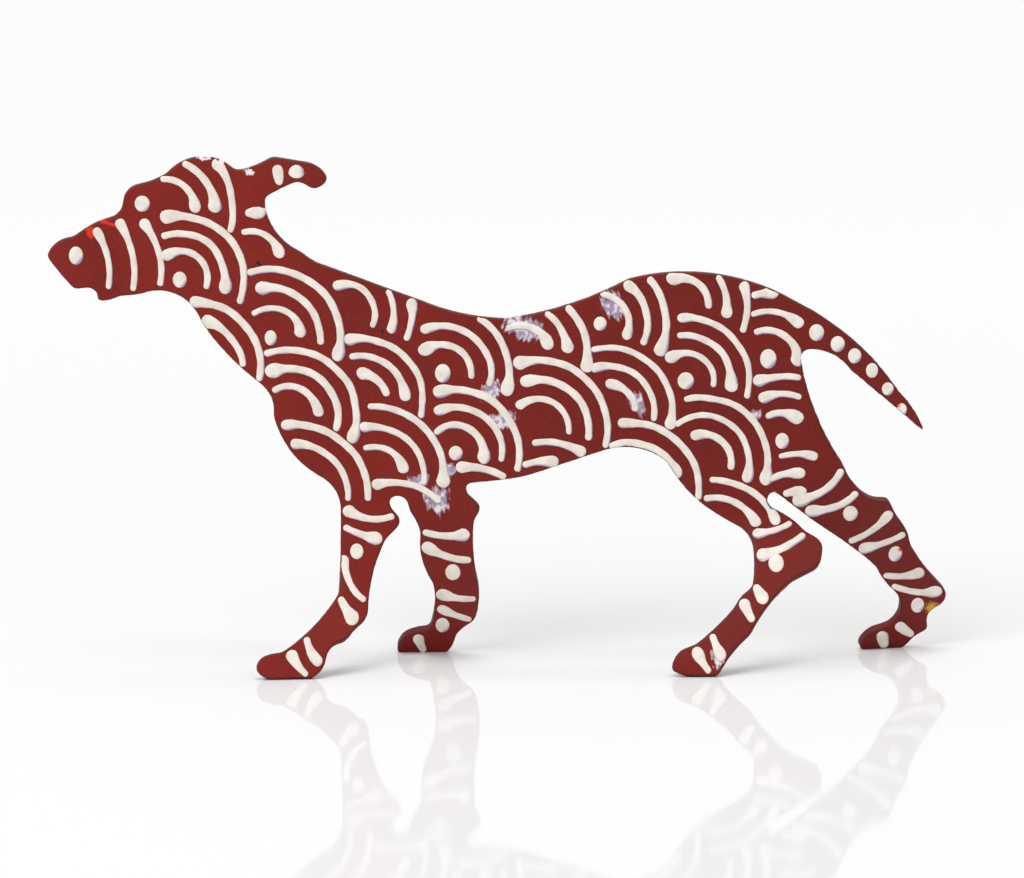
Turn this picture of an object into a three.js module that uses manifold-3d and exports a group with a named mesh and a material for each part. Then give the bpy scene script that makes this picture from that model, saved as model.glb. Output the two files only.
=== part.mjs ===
// Scrap metal dog: one thick steel sheet, cut to the outline of a walking dog seen from its
// left side, with its four legs bent out of the sheet so that it stands.
// Millimetres, +Z up. The nose points to -X, the sheet of the body lies in the XZ plane,
// and the origin is under the middle of the bounding box, on the ground.
import * as THREE from 'three';
import { mergeVertices } from 'three/addons/utils/BufferGeometryUtils.js';
import Module from 'manifold-3d';

// ---------------------------------------------------------------- driving dimensions

const THICKNESS = 5;      // the sheet
const EDGE_STEP = 4;      // longest chord on a curved stretch of the cut edge
const FLAT_SAG = 0.25;    // a stretch that rises less than this is cut straight
const BEND_BANDS = 5;     // flat bands that stand for one rounded bend
const GROUND = 0.1;       // the cut edge under each foot, before its lower arris is worn flat
const SHIFT = [-0.1, -4.1]; // x and y that bring the middle of the bounding box onto the origin

// The cut edge, clockwise from the nose as the dog is seen with its head to the left.
// Each row is a corner or a change of curve: x, z, and how far the cut bulges outward
// on its way to the next row (minus where it curves into the sheet).

const HEAD_TOP = [        // nose, muzzle, stop, brow, crown, hollow before the ear
  [-200, 185, 2.2], [-188, 193, 1.3], [-170, 202.3, -0.8], [-166, 208, 2.3],
  [-159, 216.5, -0.6], [-146.5, 221.3, 6.8], [-116.5, 222.5, -1.2],
];
const EAR = [             // blunt front corner, tip, root of the ear
  [-100.3, 228.6, -0.2], [-84, 225.8, 1.2], [-75.5, 218.7, 1.4],
  [-83, 214.3, -0.6], [-89, 217.6, -0.4],
];
const BACK = [            // nape, withers, dip of the back, top of the rump
  [-103.5, 210.5, -4.6], [-87.5, 186, -0.4], [-80, 181, 0], [-33.5, 163.6, -1.6],
  [2.5, 156, -2.6], [57, 173.6, 7.7],
];
const TAIL = [            // upper side, tip, under side, crotch of the tail
  [132.5, 162.3, 3.8], [177, 122.3, 1.1], [188, 105, 0], [155.5, 132.4, -2.6],
  [137, 142, -1],
];
const RUMP = [            // under the tail, down to the back of the far thigh
  [133, 138.8, -2.9], [151.8, 90.7, -1.6], [163.5, 75, -0.7],
];
const FAR_HIND_BACK = [   // thigh corner, hock, spur, heel
  [172.7, 73.3, -0.6], [181.2, 58, 0], [183, 50.5, -0.9], [199.7, 27.8, 1],
  [197.7, 21, -0.6], [191.4, 16.3, -0.5], [192.2, 9.6, 0], [186, 6, 0], [182, 1.6, 0.4],
];
const FAR_HIND_FRONT = [  // sole, toe, instep, bow of the shin
  [179, GROUND, 0], [162, GROUND, 0.5], [161, 3, 1.6], [170.5, 10.8, -5.8],
  [176.5, 28.3, 0.8], [167.8, 40.8, -0.7],
];
const HIND_SLOT = [       // the burnt slot that frees the two hind legs from each other
  [145.7, 59.8, 0], [121.7, 78.3, -1.4], [118.6, 74.3, -1], [120.6, 70.6, 1.2],
];
const NEAR_HIND_BACK = [  // hock, shin, heel
  [135.5, 59.7, 0.4], [142.6, 55.3, 1], [140.5, 45, 0], [128.7, 39.3, -1.5],
  [110.4, 17.5, -1.4],
];
const NEAR_HIND_FRONT = [ // sole, toe, pastern, knee
  [96, GROUND, 0], [83, GROUND, 0.3], [75.3, 2.7, 1.2], [80.3, 11.2, 0],
  [85.7, 12.9, -0.6], [103.5, 28.5, 1], [111.4, 36.6, -0.8], [111.9, 55.7, -1.1],
];
const BELLY = [           // flank, loin, brisket
  [104.6, 63.5, 3.5], [74.2, 91.5, -3.8], [45.8, 96.9, 0], [11, 85.5, 0.4],
];
const FAR_FORE_BACK = [   // notch behind the elbow, elbow, pastern, heel
  [-14.3, 82.6, -1.6], [-13.5, 76.3, 0], [-8.8, 71.8, 0.4], [-11.7, 66.5, -1.2],
  [-10.4, 36.7, 1.5], [-12.2, 16.8, -0.6], [-20.4, 9.3, 1],
];
const FAR_FORE_FRONT = [  // sole, toe, instep, shin
  [-25, GROUND, 0], [-46, GROUND, 0.3], [-47, 2, 0.8], [-43, 9.3, 0.6],
  [-32.1, 11.8, -1.4], [-30.1, 36.6, 2.3], [-35.5, 60.6, -0.6],
];
const FORE_SLOT = [       // the slot between the forelegs
  [-40.7, 70.5, -0.3], [-41.5, 74.7, -0.7], [-46.2, 77, -1], [-49.6, 73.5, -0.6],
];
const NEAR_FORE_BACK = [  // elbow, forearm, dew claw, heel
  [-45.2, 67.6, 1], [-46.2, 62.2, 0], [-51.2, 57.3, -2], [-59.1, 25, 0.4],
  [-64.6, 20.2, 0], [-68, 15.9, 0.4], [-73, 14.5, -1.2], [-77.6, 7, 1.2],
];
const NEAR_FORE_FRONT = [ // sole, toe, instep, forearm
  [-84, GROUND, 0], [-103, GROUND, 0.4], [-108, 3.6, 1.2], [-105.3, 9.8, 0.4],
  [-97.3, 11.3, -2.2], [-71.6, 35.1, -0.3], [-71, 72.3, -2],
];
const CHEST = [           // point of the shoulder, breast, throat
  [-79.6, 85.5, 3.8], [-100.5, 113.6, -1.9], [-105.5, 127, 1.6], [-132, 155, -6.3],
];
const JAW = [             // jowl, nick of the lip, chin
  [-157.8, 168, 0.3], [-168, 167, 1], [-178.1, 165, 0], [-177.4, 168, 0],
  [-180.3, 170.5, -0.3], [-187.8, 169.7, 0.5],
];

// The legs. `hip` is a point on the line where the leg starts to bend, `line` the angle of
// that line above +X, `side` -1 toward the viewer of the dog's left side and +1 away.
// Going down the leg its slope from the upright sheet grows to `lean` degrees over `ease`
// millimetres, and between `ankle` and `ankle + ANKLE_LENGTH` it changes to `foot`.

const ANKLE_LENGTH = 6;
const LEGS = [
  { name: 'nearFore', hip: [-66, 82.5], line: -20, side: -1, ease: 56, lean: 33, ankle: 70, foot: 14 },
  { name: 'farFore', hip: [-26, 70], line: 0, side: 1, ease: 36, lean: 36, ankle: 54, foot: 26 },
  { name: 'nearHind', hip: [105, 72], line: 0, side: -1, ease: 14, lean: 25, ankle: 64, foot: 14 },
  { name: 'farHind', hip: [134.6, 86.1], line: 32, side: 1, ease: 37, lean: 31, ankle: 56, foot: 24 },
];

// ---------------------------------------------------------------- the flat outline

const radians = (degrees) => (degrees * Math.PI) / 180;

/** Points along the arc from `from` to `to` that rises `sag` to the left, without the last. */
function arcPoints(from, to, sag) {
  const chord = Math.hypot(to[0] - from[0], to[1] - from[1]);
  if (Math.abs(sag) < FLAT_SAG) return [[from[0], from[1]]];
  const along = [(to[0] - from[0]) / chord, (to[1] - from[1]) / chord];
  const left = [-along[1], along[0]];
  const radius = (chord * chord / 4 + sag * sag) / (2 * Math.abs(sag));
  const half = Math.asin(Math.min(1, chord / (2 * radius)));
  const steps = Math.max(2, Math.ceil((2 * half * radius) / EDGE_STEP));
  const points = [];
  for (let i = 0; i < steps; i += 1) {
    const angle = -half + (2 * half * i) / steps;
    const run = chord / 2 + radius * Math.sin(angle);
    const rise = Math.sign(sag) * radius * (Math.cos(angle) - Math.cos(half));
    points.push([
      from[0] + along[0] * run + left[0] * rise,
      from[1] + along[1] * run + left[1] * rise,
    ]);
  }
  return points;
}

/** The whole cut edge as one closed ring of [x, z] points. */
function cutEdge(stretches) {
  const rows = stretches.flat();
  return rows.flatMap((row, i) => {
    const next = rows[(i + 1) % rows.length];
    return arcPoints(row, next, row[2]);
  });
}

// ---------------------------------------------------------------- cutting the ring into bands

/** Distance of a point below a leg's bend line, and its place along that line. */
function legFrame(leg) {
  const across = [Math.cos(radians(leg.line)), Math.sin(radians(leg.line))];
  const down = [across[1], -across[0]];
  return {
    across,
    down,
    below: ([x, z]) => (x - leg.hip[0]) * down[0] + (z - leg.hip[1]) * down[1],
    along: ([x, z]) => (x - leg.hip[0]) * across[0] + (z - leg.hip[1]) * across[1],
  };
}

/**
 * Splits a ring along the line below(point) = distance. Crossings are paired in order along
 * the line, and `accept` says which pairs are cut. Returns the rings that result.
 */
function splitRing(ring, below, along, distance, accept) {
  const crossings = [];
  ring.forEach((point, i) => {
    const next = ring[(i + 1) % ring.length];
    const here = below(point) - distance;
    const there = below(next) - distance;
    if ((here < 0) === (there < 0)) return;
    const t = here / (here - there);
    const cut = [point[0] + (next[0] - point[0]) * t, point[1] + (next[1] - point[1]) * t];
    crossings.push({ after: i, point: cut, place: along(cut) });
  });
  crossings.sort((a, b) => a.place - b.place);
  for (let i = 0; i + 1 < crossings.length; i += 2) {
    const [from, to] = [crossings[i], crossings[i + 1]];
    if (accept(from.place, to.place)) {
      from.partner = to;
      to.partner = from;
    }
  }
  const walk = ring.flatMap((point, i) => [
    { point },
    ...crossings.filter((crossing) => crossing.partner && crossing.after === i),
  ]);
  const rings = [];
  const used = new Set();
  for (const start of walk) {
    const piece = [];
    let node = start;
    while (!used.has(node)) {
      used.add(node);
      piece.push(node.point);
      if (node.partner) {
        node = node.partner;
        piece.push(node.point);
      }
      node = walk[(walk.indexOf(node) + 1) % walk.length];
    }
    if (piece.length > 0) rings.push(piece);
  }
  return rings;
}

/** Slope of a leg from the upright sheet, in degrees, at a distance below its bend line. */
function slopeAt(leg, distance) {
  if (distance < leg.ease) return (leg.lean * distance) / leg.ease;
  if (distance < leg.ankle) return leg.lean;
  const turn = Math.min(1, (distance - leg.ankle) / ANKLE_LENGTH);
  return leg.lean + (leg.foot - leg.lean) * turn;
}

/**
 * The bent section of a leg: for each fold line its distance down the leg and, in front of
 * and behind the middle of the sheet, where that line goes, as [down, out] pairs.
 */
function bentSection(leg) {
  const folds = [];
  for (let i = 0; i <= BEND_BANDS; i += 1) folds.push((leg.ease * i) / BEND_BANDS);
  folds.push(leg.ankle, leg.ankle + ANKLE_LENGTH / 2, leg.ankle + ANKLE_LENGTH);
  folds.push(leg.ankle + ANKLE_LENGTH + 60);
  const bandSlope = (i) => radians(slopeAt(leg, (folds[i] + folds[i + 1]) / 2));
  let out = 0;
  return folds.map((down, i) => {
    if (i > 0) out += Math.tan(bandSlope(i - 1)) * (down - folds[i - 1]);
    const before = i > 0 ? bandSlope(i - 1) : 0;
    const after = i + 1 < folds.length ? bandSlope(i) : before;
    const mean = (before + after) / 2;
    const reach = THICKNESS / 2 / Math.cos((after - before) / 2);
    const side = leg.side;
    // the sheet turns about the fold line, so its faces shift down or up as well as out
    const shift = i > 0 ? [side * Math.sin(mean) * reach, Math.cos(mean) * reach] : [0, THICKNESS / 2];
    return {
      down,
      front: [down + shift[0], side * out - shift[1]],
      back: [down - shift[0], side * out + shift[1]],
    };
  });
}

// ---------------------------------------------------------------- the bent solid

/** Cuts the dog into the flat sheet of its body and the bands of its bent legs. */
function bandsOf(outline) {
  let body = outline;
  const bands = [];
  for (const leg of LEGS) {
    const { below, along } = legFrame(leg);
    const holdsHip = (from, to) => from < 0 && to > 0;
    const parts = splitRing(body, below, along, 0, holdsHip);
    const isLeg = (ring) => ring.every((point) => below(point) > -1e-6);
    let rest = parts.filter(isLeg);
    body = parts.find((ring) => !isLeg(ring));
    const section = bentSection(leg);
    section.slice(1).forEach((fold, i) => {
      const cut = rest.flatMap((ring) => splitRing(ring, below, along, fold.down, () => true));
      const middle = (section[i].down + fold.down) / 2;
      const inBand = (ring) => ring.every((point) => below(point) < fold.down + 1e-6);
      cut.filter(inBand).forEach((ring) => bands.push({ ring, leg, section, middle }));
      rest = cut.filter((ring) => !inBand(ring));
    });
  }
  bands.push({ ring: body });
  return bands;
}

/** Where a point of the outline goes on the front or back face of the bent sheet. */
function placeOnFace(point, leg, section, face) {
  const side = face === 'front' ? -1 : 1;
  if (!leg) return [point[0], side * THICKNESS / 2, point[1]];
  const { across, down, below, along } = legFrame(leg);
  const distance = below(point);
  let i = 1;
  while (i < section.length - 1 && distance > section[i].down) i += 1;
  const upper = section[i - 1];
  const lower = section[i];
  const t = (distance - upper.down) / (lower.down - upper.down);
  const slide = upper[face][0] + (lower[face][0] - upper[face][0]) * t;
  const out = upper[face][1] + (lower[face][1] - upper[face][1]) * t;
  const run = along(point);
  return [
    leg.hip[0] + across[0] * run + down[0] * slide,
    out,
    leg.hip[1] + across[1] * run + down[1] * slide,
  ];
}

/** Builds the closed mesh of the bent sheet from its bands. */
function bentSheet(bands) {
  const positions = [];
  const push = (...corners) => corners.forEach((corner) => positions.push(...corner));
  const key = (a, b) => [...a, ...b].map((v) => v.toFixed(4)).join(' ');
  const edges = new Map();
  for (const band of bands) {
    band.ring.forEach((point, i) => {
      const next = band.ring[(i + 1) % band.ring.length];
      edges.set(key(point, next), { point, next, band });
    });
  }
  for (const band of bands) {
    const { ring, leg, section } = band;
    const front = ring.map((point) => placeOnFace(point, leg, section, 'front'));
    const back = ring.map((point) => placeOnFace(point, leg, section, 'back'));
    const contour = ring.map(([x, z]) => new THREE.Vector2(x, z));
    const faces = THREE.ShapeUtils.triangulateShape(contour, []);
    for (const [a, b, c] of faces) {
      const turn = (contour[b].x - contour[a].x) * (contour[c].y - contour[a].y)
        - (contour[b].y - contour[a].y) * (contour[c].x - contour[a].x);
      const [p, q, r] = turn > 0 ? [a, b, c] : [a, c, b];
      push(front[p], front[q], front[r]);
      push(back[p], back[r], back[q]);
    }
    ring.forEach((point, i) => {
      const j = (i + 1) % ring.length;
      if (edges.has(key(ring[j], point))) return;
      // the outline runs clockwise, so the wall's outer side is to its left
      push(front[i], front[j], back[j]);
      push(front[i], back[j], back[i]);
    });
  }
  const geometry = new THREE.BufferGeometry();
  geometry.setAttribute('position', new THREE.Float32BufferAttribute(positions, 3));
  return mergeVertices(geometry, 1e-3);
}

/** Wears the lowest arris of each foot flat at the ground. */
function trimAtGround(geometry, wasm) {
  const solid = new wasm.Manifold(new wasm.Mesh({
    numProp: 3,
    vertProperties: geometry.getAttribute('position').array,
    triVerts: Uint32Array.from(geometry.getIndex().array),
  }));
  const mesh = solid.trimByPlane([0, 0, 1], 0).getMesh();
  const trimmed = new THREE.BufferGeometry();
  trimmed.setAttribute('position', new THREE.Float32BufferAttribute(mesh.vertProperties, 3));
  trimmed.setIndex(Array.from(mesh.triVerts));
  return trimmed;
}

const wasm = await Module();
wasm.setup();

const outline = cutEdge([
  HEAD_TOP, EAR, BACK, TAIL, RUMP,
  FAR_HIND_BACK, FAR_HIND_FRONT, HIND_SLOT, NEAR_HIND_BACK, NEAR_HIND_FRONT,
  BELLY, FAR_FORE_BACK, FAR_FORE_FRONT, FORE_SLOT, NEAR_FORE_BACK, NEAR_FORE_FRONT,
  CHEST, JAW,
]);

const dogPlate = new THREE.Mesh(
  trimAtGround(bentSheet(bandsOf(outline)), wasm),
  new THREE.MeshStandardMaterial({ color: 0x7c2723, roughness: 0.55, metalness: 0.1 }),
);
dogPlate.name = 'dog_plate';
dogPlate.position.set(SHIFT[0], SHIFT[1], 0);

const scrapMetalDog = new THREE.Group();
scrapMetalDog.name = 'scrap_metal_dog';
scrapMetalDog.add(dogPlate);

export default scrapMetalDog;
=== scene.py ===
import logging
import math
import random
from dataclasses import dataclass, field
from enum import Enum
from typing import Callable, Iterable, Sequence

import bmesh
import bpy
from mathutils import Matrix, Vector, noise
from mathutils.kdtree import KDTree


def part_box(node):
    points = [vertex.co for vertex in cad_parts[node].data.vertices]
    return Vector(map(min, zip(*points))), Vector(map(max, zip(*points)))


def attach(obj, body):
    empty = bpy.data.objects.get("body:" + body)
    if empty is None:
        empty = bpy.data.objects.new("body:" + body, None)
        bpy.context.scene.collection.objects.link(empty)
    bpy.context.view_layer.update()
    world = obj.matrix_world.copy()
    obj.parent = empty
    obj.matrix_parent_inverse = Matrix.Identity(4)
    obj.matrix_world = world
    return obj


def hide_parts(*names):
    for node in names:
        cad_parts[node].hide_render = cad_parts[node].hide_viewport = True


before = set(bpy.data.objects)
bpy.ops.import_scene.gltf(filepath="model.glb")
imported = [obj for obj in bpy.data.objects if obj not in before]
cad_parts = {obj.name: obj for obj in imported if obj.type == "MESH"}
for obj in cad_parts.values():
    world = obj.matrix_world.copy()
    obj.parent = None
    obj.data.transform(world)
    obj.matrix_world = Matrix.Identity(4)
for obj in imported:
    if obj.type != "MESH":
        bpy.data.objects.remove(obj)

LOG = logging.getLogger("scrap_metal_dog")
MM = 0.001
FULL_INSET = 1.5  # how far inside the cut edge the flat faces begin, in millimetres
Point = tuple[float, float]
Socket = bpy.types.NodeSocket


def neighbours(ring: list) -> Iterable[tuple]:
    """Each item of a closed ring, between the one before it and the one after it."""
    return zip(ring[-1:] + ring[:-1], ring, ring[1:] + ring[:1])


def run_lengths(path: Sequence[Point]) -> list[float]:
    """The length of a path from its start to each of its points."""
    runs = [0.0]
    for a, b in zip(path, path[1:]):
        runs.append(runs[-1] + math.dist(a, b))
    return runs


def sway(x: float, z: float, scale: float, layer: float) -> float:
    """Smooth noise over the flat sheet.

    Args:
        x: place along the sheet, in millimetres.
        z: height on the sheet, in millimetres.
        scale: how quickly the noise changes, per millimetre.
        layer: which of many unlike noises is read.

    Returns:
        A value from about -1 to 1.
    """
    return noise.noise(Vector((x * scale, layer, z * scale)))


# ---------------------------------------------------------------------------- the sheet


class Side(Enum):
    """The side of the dog that something faces or bends toward."""

    NEAR = -1.0
    FAR = 1.0


@dataclass(frozen=True)
class CutEdge:
    """The cut edge of the sheet in millimetres, clockwise from the nose.

    Each row is x, z and how far the cut bulges outward on its way to the next row.
    """

    head_top: tuple = (
        (-200, 185, 2.2), (-188, 193, 1.3), (-170, 202.3, -0.8), (-166, 208, 2.3),
        (-159, 216.5, -0.6), (-146.5, 221.3, 6.8), (-116.5, 222.5, -1.2),
    )
    ear: tuple = (
        (-100.3, 228.6, -0.2), (-84, 225.8, 1.2), (-75.5, 218.7, 1.4),
        (-83, 214.3, -0.6), (-89, 217.6, -0.4),
    )
    back: tuple = (
        (-103.5, 210.5, -4.6), (-87.5, 186, -0.4), (-80, 181, 0), (-33.5, 163.6, -1.6),
        (2.5, 156, -2.6), (57, 173.6, 7.7),
    )
    tail: tuple = (
        (132.5, 162.3, 3.8), (177, 122.3, 1.1), (188, 105, 0), (155.5, 132.4, -2.6),
        (137, 142, -1),
    )
    rump: tuple = ((133, 138.8, -2.9), (151.8, 90.7, -1.6), (163.5, 75, -0.7))
    far_hind_back: tuple = (
        (172.7, 73.3, -0.6), (181.2, 58, 0), (183, 50.5, -0.9), (199.7, 27.8, 1),
        (197.7, 21, -0.6), (191.4, 16.3, -0.5), (192.2, 9.6, 0), (186, 6, 0), (182, 1.6, 0.4),
    )
    far_hind_front: tuple = (
        (179, 0.1, 0), (162, 0.1, 0.5), (161, 3, 1.6), (170.5, 10.8, -5.8),
        (176.5, 28.3, 0.8), (167.8, 40.8, -0.7),
    )
    hind_slot: tuple = (
        (145.7, 59.8, 0), (121.7, 78.3, -1.4), (118.6, 74.3, -1), (120.6, 70.6, 1.2),
    )
    near_hind_back: tuple = (
        (135.5, 59.7, 0.4), (142.6, 55.3, 1), (140.5, 45, 0), (128.7, 39.3, -1.5),
        (110.4, 17.5, -1.4),
    )
    near_hind_front: tuple = (
        (96, 0.1, 0), (83, 0.1, 0.3), (75.3, 2.7, 1.2), (80.3, 11.2, 0),
        (85.7, 12.9, -0.6), (103.5, 28.5, 1), (111.4, 36.6, -0.8), (111.9, 55.7, -1.1),
    )
    belly: tuple = ((104.6, 63.5, 3.5), (74.2, 91.5, -3.8), (45.8, 96.9, 0), (11, 85.5, 0.4))
    far_fore_back: tuple = (
        (-14.3, 82.6, -1.6), (-13.5, 76.3, 0), (-8.8, 71.8, 0.4), (-11.7, 66.5, -1.2),
        (-10.4, 36.7, 1.5), (-12.2, 16.8, -0.6), (-20.4, 9.3, 1),
    )
    far_fore_front: tuple = (
        (-25, 0.1, 0), (-46, 0.1, 0.3), (-47, 2, 0.8), (-43, 9.3, 0.6),
        (-32.1, 11.8, -1.4), (-30.1, 36.6, 2.3), (-35.5, 60.6, -0.6),
    )
    fore_slot: tuple = (
        (-40.7, 70.5, -0.3), (-41.5, 74.7, -0.7), (-46.2, 77, -1), (-49.6, 73.5, -0.6),
    )
    near_fore_back: tuple = (
        (-45.2, 67.6, 1), (-46.2, 62.2, 0), (-51.2, 57.3, -2), (-59.1, 25, 0.4),
        (-64.6, 20.2, 0), (-68, 15.9, 0.4), (-73, 14.5, -1.2), (-77.6, 7, 1.2),
    )
    near_fore_front: tuple = (
        (-84, 0.1, 0), (-103, 0.1, 0.4), (-108, 3.6, 1.2), (-105.3, 9.8, 0.4),
        (-97.3, 11.3, -2.2), (-71.6, 35.1, -0.3), (-71, 72.3, -2),
    )
    chest: tuple = ((-79.6, 85.5, 3.8), (-100.5, 113.6, -1.9), (-105.5, 127, 1.6), (-132, 155, -6.3))
    jaw: tuple = (
        (-157.8, 168, 0.3), (-168, 167, 1), (-178.1, 165, 0), (-177.4, 168, 0),
        (-180.3, 170.5, -0.3), (-187.8, 169.7, 0.5),
    )

    def rows(self) -> list[tuple[float, float, float]]:
        """All rows of the edge in order, as one closed ring."""
        stretches = (
            self.head_top, self.ear, self.back, self.tail, self.rump, self.far_hind_back,
            self.far_hind_front, self.hind_slot, self.near_hind_back, self.near_hind_front,
            self.belly, self.far_fore_back, self.far_fore_front, self.fore_slot,
            self.near_fore_back, self.near_fore_front, self.chest, self.jaw,
        )
        return [row for stretch in stretches for row in stretch]


@dataclass(frozen=True)
class Leg:
    """One leg and how it is bent out of the sheet.

    hip is a point on the line where the bend starts and line is that line's angle above +X.
    The slope grows to lean degrees over ease millimetres, and changes to foot at the ankle.
    holds says which points of the flat sheet below that line are the leg's.
    """

    hip: Point
    line: float
    side: Side
    ease: float
    lean: float
    ankle: float
    foot: float
    holds: Callable[[float, float], bool]
    ankle_length: float = 6.0

    @property
    def down(self) -> Point:
        """Unit direction down the leg, square to its bend line."""
        angle = math.radians(self.line)
        return math.sin(angle), -math.cos(angle)

    def below(self, x: float, z: float) -> float:
        """Distance of a point of the flat sheet below the bend line."""
        return (x - self.hip[0]) * self.down[0] + (z - self.hip[1]) * self.down[1]

    def slope(self, distance: float) -> float:
        """Slope from the upright sheet, in radians, at a distance below the bend line."""
        if distance <= 0:
            return 0.0
        if distance < self.ease:
            return math.radians(self.lean * distance / self.ease)
        if distance < self.ankle:
            return math.radians(self.lean)
        turn = min(1.0, (distance - self.ankle) / self.ankle_length)
        return math.radians(self.lean + (self.foot - self.lean) * turn)


def between(stops: Sequence[Point], height: float) -> float:
    """Reads x off a falling chain of (z, x) stops.

    Args:
        stops: pairs of height and x, highest first.
        height: the height to read at.

    Returns:
        The x on the straight line between the two nearest stops.
    """
    if height >= stops[0][0]:
        return stops[0][1]
    for (top, right), (foot, left) in zip(stops, stops[1:]):
        if height >= foot:
            return left + (right - left) * (height - foot) / (top - foot)
    return stops[-1][1]


HIND_DIVIDE = (
    (76.0, 118.6), (74.3, 120.0), (59.8, 141.0), (57.4, 144.3), (40.0, 152.0), (-5.0, 152.0),
)
FORE_DIVIDE = ((77.0, -45.5), (70.0, -42.3), (50.0, -43.0), (0.0, -62.0))


@dataclass
class BentSheet:
    """Takes a point of the flat cut sheet to its place on the bent dog."""

    thickness: float = 5.0
    arris_radius: float = 0.8
    wave: float = 0.24
    wave_scale: float = 0.021
    table_step: float = 0.5
    table_rows: int = 320
    legs: tuple[Leg, ...] = (
        Leg((-66, 82.5), -20, Side.NEAR, 56, 33, 70, 14,
            holds=lambda x, z: z < 95 and x < between(FORE_DIVIDE, z)),
        Leg((-26, 70), 0, Side.FAR, 36, 36, 54, 26,
            holds=lambda x, z: between(FORE_DIVIDE, z) <= x < 5),
        Leg((105, 72), 0, Side.NEAR, 14, 25, 64, 14,
            holds=lambda x, z: 60 < x < between(HIND_DIVIDE, z)),
        Leg((134.6, 86.1), 32, Side.FAR, 37, 31, 56, 24,
            holds=lambda x, z: z < 100 and x >= between(HIND_DIVIDE, z)),
    )
    shift: Vector = field(default_factory=lambda: Vector((0.0, 0.0, 0.0)))

    def __post_init__(self) -> None:
        """Works out how far each leg stands out at every table step down it."""
        self.table: dict[Leg, list[float]] = {}
        for leg in self.legs:
            out, rows = 0.0, [0.0]
            for i in range(self.table_rows):
                out += math.tan(leg.slope((i + 0.5) * self.table_step)) * self.table_step
                rows.append(out)
            self.table[leg] = rows

    def leg_at(self, x: float, z: float) -> Leg | None:
        """The leg that a point of the flat sheet belongs to, or None on the body."""
        for leg in self.legs:
            if leg.below(x, z) > 0 and leg.holds(x, z):
                return leg
        return None

    def place(self, x: float, z: float, t: float) -> Vector:
        """Bends one point.

        Args:
            x: place along the flat sheet, in millimetres.
            z: height on the flat sheet, in millimetres.
            t: depth from the middle of the sheet, minus toward the near side.

        Returns:
            The point on the bent dog, in metres.
        """
        t += self.wave * sway(x, z, self.wave_scale, 3.7)
        leg = self.leg_at(x, z)
        if leg is None:
            spot = Vector((x, t, z))
        else:
            distance = leg.below(x, z)
            rows, step = self.table[leg], distance / self.table_step
            i = min(int(step), len(rows) - 2)
            out = rows[i] + (rows[i + 1] - rows[i]) * (step - i)
            slope, side = leg.slope(distance), leg.side.value
            slide = -side * math.sin(slope) * t
            spot = Vector((
                x + leg.down[0] * slide,
                side * out + math.cos(slope) * t,
                z + leg.down[1] * slide,
            ))
        spot.z = max(spot.z, 0.0)
        return (spot + self.shift) * MM

    def fit_to(self, low: Vector, high: Vector, outline: Iterable[Point]) -> None:
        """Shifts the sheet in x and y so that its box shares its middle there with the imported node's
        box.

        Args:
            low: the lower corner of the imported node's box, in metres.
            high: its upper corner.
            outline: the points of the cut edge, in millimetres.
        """
        self.shift = Vector((0.0, 0.0, 0.0))
        half = self.thickness / 2
        spots = [self.place(x, z, t) for x, z in outline for t in (-half, half)]
        for axis in (0, 1):
            middle = (min(s[axis] for s in spots) + max(s[axis] for s in spots)) / 2
            self.shift[axis] = ((low[axis] + high[axis]) / 2 - middle) / MM


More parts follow.
